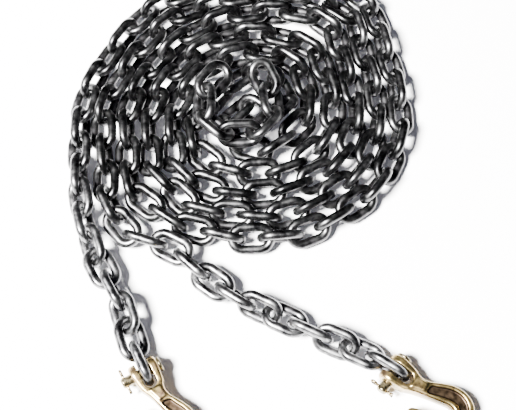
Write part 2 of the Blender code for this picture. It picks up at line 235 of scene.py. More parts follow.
def lay_coil():
    """Lay both halves of the chain outwards from the middle link, the one that lags first."""
    start = math.radians(START_HEADING)
    roll, height = roll_and_height(0)
    laid = {0: (0.0, 0.0, height, start, roll)}
    lines = {0: wire_points(laid[0])}
    # each half is a list of its joints so far: place, heading and turn of the link before
    arms = {1: [(unit(start) * STEP / 2, start, 0.0)],
            -1: [(-unit(start) * STEP / 2, start + math.pi, 0.0)]}
    limit = {}
    while True:
        turned = {side: sum(entry[2] for entry in arms[side]) for side in arms}
        open_sides = [side for side in arms if len(arms[side]) <= COIL_LINKS[side]]
        if not open_sides:
            break
        side = min(open_sides, key=lambda s: (turned[s], -s))
        joint, heading, _ = arms[side][-1]
        i = side * len(arms[side])
        top = min(steepest_turn(abs(i), joint, heading), limit.get(i, math.inf))
        turn, pose = first_clear_turn(joint, heading, top, i, side, laid, lines)
        if turn is None:
            # trapped: take the link before back up and lay it further out
            before = i - side
            limit[before] = arms[side].pop()[2] - TAKE_BACK
            limit.pop(i, None)
            del laid[before], lines[before]
            continue
        laid[i] = pose
        lines[i] = wire_points(pose)
        step = STEP - (RUN_SLACK if run_of(i) != run_of(i + side) else 0.0)
        arms[side].append((joint + unit(pose[3]) * step, pose[3], turn))
    for i in range(1 - MIDDLE_REACH, MIDDLE_REACH):
        # the links of the sharp middle ride up on one another
        x, y, z, heading, roll = laid[i]
        rise = MIDDLE_RISE * math.cos(math.pi / 2 * i / MIDDLE_REACH) ** 2
        laid[i] = (x, y, z + rise, heading, roll)
    return laid, {side: arms[side][-1][0] for side in arms}


def sloped_wire(pose):
    """The same for a link that also slopes up by a pitch, and the direction it points in."""
    x, y, z, heading, roll, pitch = pose
    flat = math.cos(pitch)
    along = np.array([math.cos(heading) * flat, math.sin(heading) * flat, math.sin(pitch)])
    side = np.array([-math.sin(heading), math.cos(heading), 0.0])
    across = math.cos(roll) * side + math.sin(roll) * np.cross(along, side)
    return np.array([x, y, z]) + LINE[:, :1] * along + LINE[:, 1:] * across, along


def is_clear(wire, others):
    """Whether the middle of a link's wire is high enough above the floor and far enough from the
    middle of every other link's wire."""
    away = np.abs(others.mean(1) - wire.mean(0)).max(-1)
    close = others[away < TOP_NEIGHBOUR].reshape(-1, 3)
    return wire[:, 2].min() > REST_R and (not len(close) or nearest(wire, close) >= TOP_CLEAR)


def lay_top(laid):
    """A stretch laid over the middle: every link slopes down as steeply as those under it allow."""
    under = np.array([wire_points(pose) for pose in laid.values()
                      if math.hypot(*pose[:2]) < TOP_REACH])
    heading = math.radians(TOP_HEADING)
    for z in np.arange(*TOP_HEIGHTS):
        pose = (*TOP_START, z, heading, math.radians(TOP_ROLLS[0]), 0.0)
        wire, along = sloped_wire(pose)
        if is_clear(wire, under):
            break
    stretch = [pose]
    joint = np.array(pose[:3]) + along * STEP / 2
    for turn, roll in zip(TOP_TURNS, TOP_ROLLS[1:]):
        heading += math.radians(turn)
        for pitch in np.radians(np.arange(*TOP_SLOPES)):
            along = sloped_wire((0, 0, 0, heading, math.radians(roll), pitch))[1]
            pose = (*(joint + along * STEP / 2), heading, math.radians(roll), pitch)
            beyond = sloped_wire(pose)[0]
            linked = TOP_LINKED[0] < nearest(beyond, wire) < TOP_LINKED[1]
            if linked and is_clear(beyond, under):
                break
        under = np.concatenate([under, wire[None]])
        wire = beyond
        stretch.append(pose)
        joint = joint + along * STEP
    return [(x, y, z - TOP_SINK, *turned) for x, y, z, *turned in stretch]


def lay_tail(start, path, pin, heading, rolls):
    """Poses of the links from the coil's end to the hook, spaced along a path of straight
    stretches. Two links that cross more squarely are set a little further apart."""
    aim = unit(math.radians(heading))
    end = np.array(pin) - aim * PIN_TO_LINK
    route = np.array([start, *path, end - aim * STEP / 2, end, end + aim * STEP / 2])
    length = np.concatenate([[0.0], np.cumsum(np.hypot(*np.diff(route, axis=0).T))])
    crossing = np.abs(np.diff(rolls))
    crossing = np.minimum(crossing, 180 - crossing)
    looser = LOOSER * np.clip((crossing - TIGHT_CROSSING) / CROSSING_SPREAD, 0, 1)
    spans = np.concatenate([[FIRST_SPAN], 1 + looser])
    at = np.cumsum(spans) * length[-2] / spans.sum()
    before, centres, after = [
        np.column_stack([np.interp(at + shift, length, route[:, axis]) for axis in (0, 1)])
        for shift in (-TANGENT, 0.0, TANGENT)]
    rising = np.clip(RISING_LINKS - np.arange(len(rolls)), 0, RISING_LINKS)
    heights = stand_height(math.radians(rolls[-1])) - rising * FIRST_RISE
    ahead = np.arctan2(*(after - before).T[::-1])
    return [(*centre, z, h, math.radians(r))
            for centre, z, h, r in zip(centres, heights, ahead, rolls)]


laid, ends = lay_coil()
stretch = lay_top(laid)
tails = {
    "left": lay_tail(ends[-1], LEFT_PATH, LEFT_PIN, LEFT_HEADING, LEFT_ROLLS),
    "right": lay_tail(ends[1], RIGHT_PATH, RIGHT_PIN, RIGHT_HEADING, RIGHT_ROLLS),
}


# The links
# Each link is a length of round steel bar bent to a long ring and butt-welded at the middle of one
# side, so the bar swells a little there. The steel is bare and bright, duller and darker where
# nothing rubs it. The coil's links carry painted shade and the tails' links painted light in their
# tones.

# the bar's surface: its points along and around, and how its thickness changes
ALONG = 60
AROUND = 16
END_EASE = 0.00035
BAR_SHARE = 0.985
WELD_REACH = 0.0034
WELD_SWELL = 0.030
RIDGE_AT = 0.0022
RIDGE_REACH = 0.0009
RIDGE_SWELL = 0.010
END_THINNING = 0.045

# the steel: shades from the dark patches to the bright ones, then what the welds and ends add
STEEL_SHADES = ((0.34, (0.012, 0.012, 0.013)), (0.50, (0.060, 0.060, 0.062)),
                (0.68, (0.16, 0.16, 0.162)))
BLUED_STEEL = (0.045, 0.042, 0.046)
WELD_BLUING = 0.45
RUBBED_STEEL = (0.24, 0.24, 0.24)
END_RUBBING = 0.5
STEEL_ROUGH, PATCH_ROUGH, WELD_ROUGH = 0.19, 0.24, 0.15
GRAIN_DEPTH = 0.4

# how bright single links are, each at random within its range: the coil's darker as painted shade,
# the tails' lighter as painted light, and the first links of a tail less lit
TONE_SEED = 7
COIL_SHADED_TONES = (0.42, 0.95)
TAIL_LIT_TONES = (1.2, 1.6)
TAIL_START, TAIL_GAIN, TAIL_GAIN_LINKS = 0.6, 0.4, 4


def bar_line(count):
    """Centre line of the bar: two straight sides and two half circles, evenly spaced by length.

    Returns the points and the outward direction at each."""
    side = 2 * HALF_FLAT
    arc = math.pi * BEND_R
    s = np.arange(count) / count * 2 * (side + arc)
    half = s >= side + arc
    t = np.where(half, s - side - arc, s)
    turn = np.clip((t - side) / arc, 0, 1) * math.pi
    x = np.where(t < side, t - HALF_FLAT, HALF_FLAT + BEND_R * np.sin(turn))
    y = -BEND_R * np.cos(turn)
    out = np.column_stack([np.sin(turn), -np.cos(turn)])
    way = np.where(half, -1.0, 1.0)[:, None]
    return np.column_stack([x, y]) * way, out * way


def bar_surface(count_along, count_around):
    """A round bar carried along the centre line: the point at (s, v) is the line's point plus the
    radius times cos v outwards and sin v across. The radius swells at the weld, which has a low
    ridge each side of its middle, and thins in the ends. Also gives how near each point is to the
    weld and how worn."""
    line, out = bar_line(count_along)
    in_end = np.clip((np.abs(line[:, :1]) - HALF_FLAT) / BEND_R, 0, 1)
    line = line + np.sign(line[:, :1]) * END_EASE * in_end
    v = np.arange(count_around) / count_around * 2 * math.pi
    from_weld = np.hypot(line[:, 0], line[:, 1] + BEND_R)
    weld = np.exp(-(from_weld / WELD_REACH) ** 2)
    ridge = np.exp(-((from_weld - RIDGE_AT) / RIDGE_REACH) ** 2)
    bend = np.clip((np.abs(line[:, 0]) - HALF_FLAT) / BEND_R, 0, 1)
    share = BAR_SHARE + WELD_SWELL * weld + RIDGE_SWELL * ridge - END_THINNING * bend
    radius = WIRE_D / 2 * share
    radial = np.cos(v)[None, :] * radius[:, None]
    across = np.sin(v)[None, :] * radius[:, None]
    x = line[:, :1] + out[:, :1] * radial
    y = line[:, 1:] + out[:, 1:] * radial
    points = np.stack([x, y, across], axis=-1).reshape(-1, 3)
    welded = np.repeat(weld, count_around)
    worn = (bend[:, None] * np.clip(-np.cos(v)[None, :], 0, 1)).ravel()
    return points, welded, worn


def ring_faces(count_along, count_around):
    """Quads of a closed grid facing outwards: each point joined to the next along and around."""
    i, j = np.meshgrid(np.arange(count_along), np.arange(count_around), indexing="ij")
    here, ahead = i * count_around, (i + 1) % count_along * count_around
    j2 = (j + 1) % count_around
    return np.stack([here + j, ahead + j, ahead + j2, here + j2], axis=-1).reshape(-1, 4)


def add_values(mesh, name, values):
    """One value at each point of the mesh, for its material to read."""
    layer = mesh.attributes.new(name, "FLOAT", "POINT")
    layer.data.foreach_set("value", values.astype(np.float32))


def surface_object(name, points, faces, **attributes):
    """Mesh object of quads, smooth shaded, with a value at each point for every attribute given."""
    mesh = bpy.data.meshes.new(name)
    mesh.vertices.add(len(points))
    mesh.vertices.foreach_set("co", points.astype(np.float32).ravel())
    mesh.loops.add(faces.size)
    mesh.loops.foreach_set("vertex_index", faces.astype(np.int32).ravel())
    mesh.polygons.add(len(faces))
    mesh.polygons.foreach_set("loop_start", np.arange(0, faces.size, 4, dtype=np.int32))
    mesh.polygons.foreach_set("use_smooth", np.ones(len(faces), bool))
    mesh.update(calc_edges=True)
    for key, values in attributes.items():
        add_values(mesh, key, values)
    obj = bpy.data.objects.new(name, mesh)
    bpy.context.scene.collection.objects.link(obj)
    return obj


def links_object(name, poses, tones):
    """Several links in one mesh: the bar's surface turned and placed by each pose."""
    bar, welded, worn = bar_surface(ALONG, AROUND)
    faces = ring_faces(ALONG, AROUND)
    placed = []
    for pose in poses:
        x, y, z, heading, roll, pitch = (*pose, 0.0)[:6]
        sloped = Matrix.Rotation(heading, 3, "Z") @ Matrix.Rotation(-pitch, 3, "Y")
        turn = sloped @ Matrix.Rotation(roll, 3, "X")
        placed.append(bar @ np.array(turn).T + np.array([x, y, z]))
    count = len(poses)
    shifted = (faces[None] + (np.arange(count) * len(bar))[:, None, None]).reshape(-1, 4)
    return surface_object(name, np.vstack(placed), shifted, weld=np.tile(welded, count),
                          wear=np.tile(worn, count), tone=np.repeat(tones, len(bar)))


def metal(name):
    """New material of bare or plated metal, with its nodes, its shader and Object coordinates."""
    mat = bpy.data.materials.new(name)
    mat.use_nodes = True
    tree = mat.node_tree
    shader = tree.nodes["Principled BSDF"]
    shader.inputs["Metallic"].default_value = 1.0
    return mat, tree, shader, tree.nodes.new("ShaderNodeTexCoord").outputs["Object"]


def noise(tree, place, scale, detail, roughness=0.5):
    """Value of a noise fixed to the piece."""
    node = tree.nodes.new("ShaderNodeTexNoise")
    node.inputs["Scale"].default_value = scale
    node.inputs["Detail"].default_value = detail
    node.inputs["Roughness"].default_value = roughness
    tree.links.new(place, node.inputs["Vector"])
    return node.outputs["Fac"]


def ramp(tree, value, stops):
    """Colour that goes from stop to stop, each a value and its colour."""
    node = tree.nodes.new("ShaderNodeValToRGB")
    first, last = node.color_ramp.elements
    first.position, last.position = stops[0][0], stops[-1][0]
    first.color, last.color = (*stops[0][1], 1.0), (*stops[-1][1], 1.0)
    for at, colour in stops[1:-1]:
        node.color_ramp.elements.new(at).color = (*colour, 1.0)
    tree.links.new(value, node.inputs["Fac"])
    return node.outputs["Color"]


def told(tree, name, output="Fac"):
    """Value that the mesh holds at each point under this name."""
    node = tree.nodes.new("ShaderNodeAttribute")
    node.attribute_name = name
    return node.outputs[output]


def mixed(tree, kind, factor, a, b):
    """Mix of two colours, each a socket or a plain colour."""
    node = tree.nodes.new("ShaderNodeMix")
    node.data_type = "RGBA"
    node.blend_type = kind
    for name, value in (("Factor", factor), ("A", a), ("B", b)):
        socket = next(s for s in node.inputs if s.name == name and s.enabled)
        if hasattr(value, "is_output"):
            tree.links.new(value, socket)
        elif name == "Factor":
            socket.default_value = value
        else:
            socket.default_value = (*value, 1.0)
    return next(s for s in node.outputs if s.enabled)


def reckoned(tree, operation, a, b):
    """Sum, product or the like of two sockets or numbers."""
    node = tree.nodes.new("ShaderNodeMath")
    node.operation = operation
    for socket, value in zip(node.inputs, (a, b)):
        if hasattr(value, "is_output"):
            tree.links.new(value, socket)
        else:
            socket.default_value = value
    return node.outputs[0]


def times(tree, a, b):
    return reckoned(tree, "MULTIPLY", a, b)


def plus(tree, a, b):
    return reckoned(tree, "ADD", a, b)


def add_relief(tree, shader, height, strength, depth):
    """Fine relief in the shading from a height that counts as up to the depth, in metres."""
    bump = tree.nodes.new("ShaderNodeBump")
    bump.inputs["Strength"].default_value = strength
    bump.inputs["Distance"].default_value = depth
    tree.links.new(height, bump.inputs["Height"])
    tree.links.new(bump.outputs["Normal"], shader.inputs["Normal"])


def bare_steel():
    """Bright drawn bar: mill-grey with darker patches, fine grain, blued welds and rubbed ends."""
    mat, tree, shader, place = metal("bare_steel")
    patches = noise(tree, place, scale=90, detail=5, roughness=0.6)
    grain = noise(tree, place, scale=900, detail=3)
    shade = ramp(tree, patches, STEEL_SHADES)
    # the link's tone, which also carries painted shade on the coil and painted light on the tails
    toned = mixed(tree, "MULTIPLY", 1.0, shade, told(tree, "tone", "Color"))
    weld = told(tree, "weld")
    welded = mixed(tree, "MIX", times(tree, weld, WELD_BLUING), toned, BLUED_STEEL)
    wear = told(tree, "wear")
    brightened = mixed(tree, "MIX", times(tree, wear, END_RUBBING), welded, RUBBED_STEEL)
    tree.links.new(brightened, shader.inputs["Base Color"])
    rough = plus(tree, times(tree, patches, PATCH_ROUGH), STEEL_ROUGH)
    rough = plus(tree, rough, times(tree, weld, WELD_ROUGH))
    tree.links.new(rough, shader.inputs["Roughness"])
    height = plus(tree, times(tree, grain, GRAIN_DEPTH), patches)
    add_relief(tree, shader, height, strength=0.25, depth=0.0003)
    return mat


def add_links(name, poses, tones, node):
    """Links of the bare steel, standing for a node of the chain."""
    links = links_object(name, poses, tones)
    links.data.materials.append(chain_finish)
    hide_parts(node)
    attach(links, "chain")


chain_finish = bare_steel()
tone_of = np.random.default_rng(TONE_SEED)
rows = {}
for i in sorted(laid):
    rows.setdefault(run_of(i), []).append(laid[i])
for k, (_, row) in enumerate(sorted(rows.items()), 1):
    add_links("coil_row_%02d" % k, row, tone_of.uniform(*COIL_SHADED_TONES, len(row)), "coil_run_%02d" % k)
add_links("coil_top", stretch, tone_of.uniform(*COIL_SHADED_TONES, len(stretch)), "coil_top_stretch")
for side, poses in tails.items():
    for number, pose in enumerate(poses, 1):
        # painted light on a tail, less on its first links out of the coil
        tail_light = TAIL_START + TAIL_GAIN * min(number / TAIL_GAIN_LINKS, 1.0)
        add_links("%s_link_%02d" % (side, number), [pose],
                  tone_of.uniform(*TAIL_LIT_TONES, 1) * tail_light, "%s_tail_link_%02d" % (side, number))


# The hooks
# Each is a drop forging of alloy steel: two ears on a thick neck, then a flat hook with a thinned
# web round its back and a narrow slot that grips one link. It is plated with yellow chromate,
# darker in the web.

# how they lie
LEFT_HOOK_HEADING = -60.0
RIGHT_HOOK_HEADING = -37.0
PIN_HEIGHT = 0.016
HOOK_END = 0.092

# the forging in metres, with the pin's middle at 0, 0; arcs in degrees: from, to, and how many
# points, or for the bore the step
HOOK_T = 0.020
EAR_R = 0.0118
EAR_Y = 0.0146
EAR_FOOT = (0.0195, 0.0092)
EAR_ARC = (80, 280, 26)
EAR_TAPER, TAPER_FROM, TAPER_LENGTH = 0.22, 0.004, 0.0155
SLOT_W = 0.0135
SLOT_START = -0.02
SLOT_END = 0.0195
SLOT_ARC = (-90, 90, 15)
BORE_R = 0.0059
BORE_ARC = (0, 360, 10)
WEB_DEPTH = 0.0032
BOSS_RISE = 0.0011
VOXEL = 0.00062
EASE_SHARE, EASE_PASSES = 0.5, 5

# its outlines in millimetres; an edge is pairs of an inset and how far below the face it comes
MM = 1000
OUTLINE = ((11, 13.2), (17, 12), (22, 10.2), (28, 9.8), (34, 11.5), (40, 15), (48, 19.5), (57, 23),
           (66, 24), (75, 22.4), (83, 17.5), (88.5, 10), (91.6, 1), (92, -8), (89.4, -17),
           (83.5, -24.6), (75, -29.6), (65, -31.8), (52, -32), (40, -31.4), (34, -30),
           (31.4, -27), (31.8, -23.4), (34.6, -20.8), (42, -17.6), (52, -14), (60, -11.4),
           (64.5, -10.6), (68.8, -9.2), (71, -5.8), (70.8, -1.6), (68, 1.6), (63.5, 2.6),
           (57, 1.2), (46, -1.8), (36, -4.6), (27, -7.6), (19, -11.2), (11, -13), (5, -10.5),
           (2, -5), (1.2, 0), (2, 5), (5, 10.5))
WEB = ((37.5, -0.6), (37, 8), (44, 12.2), (52, 16.4), (60, 18.8), (68, 18.8), (76, 15.6), (82, 9),
       (84.6, 0), (83.6, -9), (79, -15.6), (72, -19), (68, -20), (72, -14.6), (76, -9), (76.6, -3),
       (74, 3.4), (68.6, 7), (60, 7), (50, 4))
BOSS = ((20.5, -6), (20.5, 6.5), (33, 8), (34.5, -1.5))
CURVE_STEPS = 4
BODY_EDGE = ((2.2, 0), (1.1, 0.6), (0.4, 2.0), (0, 9))
EAR_EDGE = ((2.4, 0), (0.9, 0.8), (0, 2.6))
BOSS_EDGE = ((1.0, 0), (0, 1.0))
WEB_DRAFT, WEB_OVER = 0.9, 3
THROUGH_ALL = ((0, -20), (0, 20))

# how far into the web the plating has pooled, and how much an edge stands out
POOL_EDGE, POOL_OVER = 0.0008, 0.6
POOL_START, POOL_FADE = 0.0006, 0.0014
EDGE_PASSES, EDGE_GAIN = 3, 12

# the plating: a film of changing tint, blotches on it, brown pools, painted shade in inner corners,
# painted highlights on outer edges
GOLD_FILM = ((0.34, (0.125, 0.105, 0.042)), (0.46, (0.25, 0.182, 0.072)),
             (0.56, (0.38, 0.275, 0.118)), (0.68, (0.24, 0.150, 0.100)))
BLOTCHES = ((0.35, (0.52, 0.50, 0.48)), (0.60, (1.0, 1.0, 1.0)))
BLOTCH_SHARE = 0.8
POOLED_BROWN = ((0.38, (0.013, 0.0082, 0.0060)), (0.62, (0.045, 0.030, 0.021)))
POOL_SHARE = 0.95
CORNER_SHADE = (0.025, 0.016, 0.012)
CORNER_SHADE_SHARE = 0.75
EDGE_HIGHLIGHT_GOLD = (0.50, 0.37, 0.165)
EDGE_HIGHLIGHT_SHARE = 0.55
FILM_ROUGH, BLOTCH_ROUGH, POOL_ROUGH = 0.17, 0.26, 0.08
SKIN_DEPTH = 0.45


def through(corners, steps, closed=True):
    """Catmull-Rom curve through corners given in millimetres: between two corners it is the cubic
    that has at each of them the direction of the line joining its two neighbours."""
    p = np.array(corners) / MM
    if not closed:
        p = np.vstack([2 * p[:1] - p[1:2], p, 2 * p[-1:] - p[-2:-1]])
    a, b, c, d = (np.roll(p, k, axis=0)[:, None] for k in (1, 0, -1, -2))
    t = (np.arange(steps) / steps)[None, :, None]
    curve = b + 0.5 * t * (c - a + t * (2 * a - 5 * b + 4 * c - d + t * (3 * (b - c) + d - a)))
    return curve.reshape(-1, 2) if closed else np.vstack([curve[1:-2].reshape(-1, 2), p[-2:-1]])


def circle(angles):
    """Points of a circle of radius 1 at these angles, in degrees."""
    turn = np.radians(angles)
    return np.column_stack([np.cos(turn), np.sin(turn)])


def both_faces(half, edge):
    """Steps of a slab from its lower face to its upper, with the same edge on both."""
    lower = [(inset, below - half) for inset, below in edge]
    return lower + [(inset, half - below) for inset, below in reversed(edge)]


def raised(ring, steps):
    """Rings of a slab: the ring moved inwards along its normals by each step's inset and set at its
    height, both in millimetres."""
    along = np.roll(ring, -1, axis=0) - np.roll(ring, 1, axis=0)
    along /= np.linalg.norm(along, axis=1)[:, None]
    ahead = np.roll(ring, -1, axis=0)
    way = np.sign((ring[:, 0] * ahead[:, 1] - ring[:, 1] * ahead[:, 0]).sum())
    inward = np.column_stack([-along[:, 1], along[:, 0]]) * way
    inset, height = (np.array(steps) / MM).T[:, :, None]
    flat = ring[None] + inward[None] * inset[:, :, None]
    level = np.broadcast_to(height[:, :, None], flat.shape[:2] + (1,))
    return np.concatenate([flat, level], axis=-1)


def ringed_mesh(name, rings):
    """Closed mesh of rings of points, each joined to the next, with a flat cap at each end."""
    count, around = rings.shape[:2]
    i, j = np.meshgrid(np.arange(count - 1), np.arange(around), indexing="ij")
    here, ahead = i * around, (i + 1) * around
    j2 = (j + 1) % around
    walls = np.stack([here + j, here + j2, ahead + j2, ahead + j], axis=-1)
    last = (count - 1) * around
    caps = [list(range(around)), list(range(last, last + around))]
    mesh = bpy.data.meshes.new(name)
    mesh.from_pydata(rings.reshape(-1, 3), [], walls.reshape(-1, 4).tolist() + caps)
    bm = bmesh.new()
    bm.from_mesh(mesh)
    bmesh.ops.recalc_face_normals(bm, faces=bm.faces)
    bm.to_mesh(mesh)
    bm.free()
    return mesh


def forged(name, first, steps):
    """The first solid with others joined to it or cut from it, then made one skin of even small
    faces and eased, which gives every edge and inner corner the radius of a forging."""
    blank = bpy.data.objects.new(name, first)
    tools = [bpy.data.objects.new(name + "_tool", mesh) for _, mesh in steps]
    for obj in [blank] + tools:
        bpy.context.scene.collection.objects.link(obj)
    for tool, (operation, _) in zip(tools, steps):
        cut = blank.modifiers.new(operation, "BOOLEAN")
        cut.solver = "EXACT"
        cut.operation = operation
        cut.object = tool
    skin = blank.modifiers.new("skin", "REMESH")
    skin.mode = "VOXEL"
    skin.voxel_size = VOXEL
    ease = blank.modifiers.new("ease", "SMOOTH")
    ease.factor = EASE_SHARE
    ease.iterations = EASE_PASSES
    bpy.context.view_layer.update()
    shaped = blank.evaluated_get(bpy.context.evaluated_depsgraph_get())
    mesh = bpy.data.meshes.new_from_object(shaped)
    for obj in [blank] + tools:
        bpy.data.objects.remove(obj)
    return mesh


def mesh_points(mesh):
    """Places of the mesh's points as an array."""
    points = np.empty(len(mesh.vertices) * 3, np.float32)
    mesh.vertices.foreach_get("co", points)
    return points.reshape(-1, 3).astype(float)


def sharpness(mesh):
    """How far each point stands out from its neighbours' mean along its normal, about 1 on an outer
    edge and -1 in an inner corner."""
    points = mesh_points(mesh)
    normals = np.empty(len(points) * 3, np.float32)
    mesh.vertices.foreach_get("normal", normals)
    ends = np.empty(len(mesh.edges) * 2, np.int32)
    mesh.edges.foreach_get("vertices", ends)
    a, b = ends.reshape(-1, 2).T
    neighbours = np.bincount(ends, minlength=len(points))
    mean = np.zeros_like(points)
    np.add.at(mean, a, points[b])
    np.add.at(mean, b, points[a])
    mean /= neighbours[:, None]
    out = ((points - mean) * normals.reshape(-1, 3)).sum(-1) / VOXEL
    for _ in range(EDGE_PASSES):
        spread = np.bincount(a, out[b], len(points)) + np.bincount(b, out[a], len(points))
        out = (out + spread) / (1 + neighbours)
    return np.clip(out * EDGE_GAIN, -1, 1)


def inside(ring, points):
    """Distance of each point to a closed line of points, positive inside it."""
    a, b = ring[None], np.roll(ring, -1, axis=0)[None]
    p = points[:, None]
    share = np.clip(((p - a) * (b - a)).sum(-1) / ((b - a) ** 2).sum(-1), 0, 1)
    near = np.sqrt(((p - a - share[..., None] * (b - a)) ** 2).sum(-1)).min(1)
    span = (a[..., 1] > p[..., 1]) != (b[..., 1] > p[..., 1])
    rise = np.where(a[..., 1] == b[..., 1], 1, b[..., 1] - a[..., 1])
    at = a[..., 0] + (p[..., 1] - a[..., 1]) / rise * (b[..., 0] - a[..., 0])
    return near * np.where((span & (p[..., 0] < at)).sum(1) % 2 == 1, 1, -1)


def hook_mesh():
    """The forging in its own frame: pin at the origin, +X away from the chain, throat to -Y."""
    half = MM * HOOK_T / 2
    body = raised(through(OUTLINE, CURVE_STEPS), both_faces(half, BODY_EDGE))
    foot_x, foot_y = EAR_FOOT
    side = np.vstack([circle(np.linspace(*EAR_ARC)) * EAR_R,
                      [(foot_x, -foot_y), (foot_x, foot_y)]])
    ears = raised(side, both_faces(MM * EAR_Y, EAR_EDGE))[..., [0, 2, 1]]
    towards_neck = np.clip((ears[..., 0] - TAPER_FROM) / TAPER_LENGTH, 0, 1)
    ears[..., 1] *= 1 - EAR_TAPER * towards_neck ** 2
    slot = np.vstack([[(SLOT_START, SLOT_W / 2), (SLOT_START, -SLOT_W / 2)],
                      circle(np.linspace(*SLOT_ARC)) * SLOT_W / 2 + (SLOT_END - SLOT_W / 2, 0)])
    bore = raised(circle(np.arange(*BORE_ARC)) * BORE_R, THROUGH_ALL)
    boss = raised(np.array(BOSS) / MM, both_faces(MM * BOSS_RISE + half, BOSS_EDGE))
    web = through(WEB, CURVE_STEPS)
    web_top = [(WEB_DRAFT, half - MM * WEB_DEPTH), (0, half), (-WEB_DRAFT, half + WEB_OVER)]
    web_under = [(inset, -height) for inset, height in reversed(web_top)]
    steps = [("UNION", ringed_mesh("ears", ears)),
             ("UNION", ringed_mesh("block", boss)),
             ("DIFFERENCE", ringed_mesh("slot", raised(slot, THROUGH_ALL))),
             ("DIFFERENCE", ringed_mesh("bore", bore[..., [0, 2, 1]])),
             ("DIFFERENCE", ringed_mesh("web_top", raised(web, web_top))),
             ("DIFFERENCE", ringed_mesh("web_under", raised(web, web_under)))]
    return forged("hook", ringed_mesh("hook_blank", body), steps)


def yellow_chromate():
    """Plated forging: straw and gold with green and rose in the film, brown where it pooled in the
    web, painted shade in inner corners and painted highlights on outer edges, over the grainy skin
    of a forging."""
    mat, tree, shader, place = metal("yellow_chromate")
    film = noise(tree, place, scale=60, detail=3, roughness=0.55)
    blotch = noise(tree, place, scale=170, detail=4, roughness=0.6)
    skin = noise(tree, place, scale=1100, detail=4, roughness=0.6)
    gold = ramp(tree, film, GOLD_FILM)
    mottled = mixed(tree, "MULTIPLY", BLOTCH_SHARE, gold, ramp(tree, blotch, BLOTCHES))
    hollow = told(tree, "hollow")
    pooled = ramp(tree, blotch, POOLED_BROWN)
    darkened = mixed(tree, "MIX", times(tree, hollow, POOL_SHARE), mottled, pooled)
    edge = told(tree, "edge")
    # painted shade in the inner corners, darker the more hollow they are
    corner = reckoned(tree, "MAXIMUM", times(tree, edge, -1.0), 0.0)
    corner_shaded = mixed(tree, "MIX", times(tree, corner, CORNER_SHADE_SHARE), darkened, CORNER_SHADE)
    # painted highlight on the outer edges
    outer = reckoned(tree, "MAXIMUM", edge, 0.0)
    brightened = mixed(tree, "MIX", times(tree, outer, EDGE_HIGHLIGHT_SHARE), corner_shaded, EDGE_HIGHLIGHT_GOLD)
    tree.links.new(brightened, shader.inputs["Base Color"])
    rough = plus(tree, times(tree, blotch, BLOTCH_ROUGH), FILM_ROUGH)
    rough = plus(tree, rough, times(tree, hollow, POOL_ROUGH))
    tree.links.new(rough, shader.inputs["Roughness"])
    height = plus(tree, times(tree, skin, SKIN_DEPTH), blotch)
    add_relief(tree, shader, height, strength=0.35, depth=0.0004)
    return mat


def hook_place(pin, heading):
    """The hook hangs from its pin and its bend rests on the floor."""
    tilt = math.atan2(PIN_HEIGHT - HOOK_T / 2, HOOK_END)
    turn = Matrix.Rotation(math.radians(heading), 4, "Z") @ Matrix.Rotation(tilt, 4, "Y")
    return Matrix.Translation((*pin, PIN_HEIGHT)) @ turn


PLACES = {"left": hook_place(LEFT_PIN, LEFT_HOOK_HEADING),
          "right": hook_place(RIGHT_PIN, RIGHT_HOOK_HEADING)}


def add_piece(name, mesh, side, node, finish):
    """Piece of a hook, set in its place and standing for a node of the same side."""
    mesh.transform(PLACES[side])
    mesh.polygons.foreach_set("use_smooth", np.ones(len(mesh.polygons), bool))
    mesh.materials.clear()
    mesh.materials.append(finish)
    piece = bpy.data.objects.new("%s_%s" % (side, name), mesh)
    bpy.context.scene.collection.objects.link(piece)
    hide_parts("%s_%s" % (side, node))
    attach(piece, side + "_hook")


chromate = yellow_chromate()
hook = hook_mesh()
at = mesh_points(hook)
pooled = np.clip(inside(through(WEB, CURVE_STEPS), at[:, :2]) / POOL_EDGE + POOL_OVER, 0, 1)
pooled *= np.clip((HOOK_T / 2 - np.abs(at[:, 2]) - POOL_START) / POOL_FADE, 0, 1)
add_values(hook, "hollow", pooled)
add_values(hook, "edge", sharpness(hook))
for side in PLACES:
    add_piece("forged_hook", hook.copy(), side, "hook_body", chromate)
bpy.data.meshes.remove(hook)


# The clevis pins
# A plain round pin, turned from bar with a thin flat head and a bevelled tail, passes through both
# ears and the last link. It is held by the split pin in its tail and has a dull yellow plating.

# height along the pin and radius, in millimetres
PIN_PROFILE = ((-26.0, 3.6), (-25.9, 4.3), (-25.6, 4.6), (-24.6, 5.4), (-24.2, 5.5), (-24.0, 5.5),
               (-8.0, 5.5), (8.0, 5.5), (15.0, 5.5), (15.15, 5.6), (15.2, 7.2), (15.3, 7.7),
               (15.6, 7.95), (16.2, 8.0), (17.2, 8.0), (17.7, 7.8), (18.0, 7.3), (18.12, 6.4),
               (18.14, 3.0))
PIN_SIDES = 48
PIN_SHADES = ((0.36, (0.07, 0.06, 0.035)), (0.52, (0.22, 0.18, 0.10)), (0.68, (0.36, 0.32, 0.22)))
PIN_ROUGH, PIN_PATCH_ROUGH = 0.15, 0.3
TOOL_RINGS = 2500


def turned_rings(profile, around):
    """Profile turned round the Y axis: at angle v each point of it goes to radius cos v, height,
    radius sin v."""
    height, radius = (np.array(profile) / MM).T[:, :, None]
    v = np.arange(around)[None] / around * 2 * math.pi
    level = np.broadcast_to(height, (len(profile), around))
    return np.stack([radius * np.cos(v), level, radius * np.sin(v)], axis=-1)


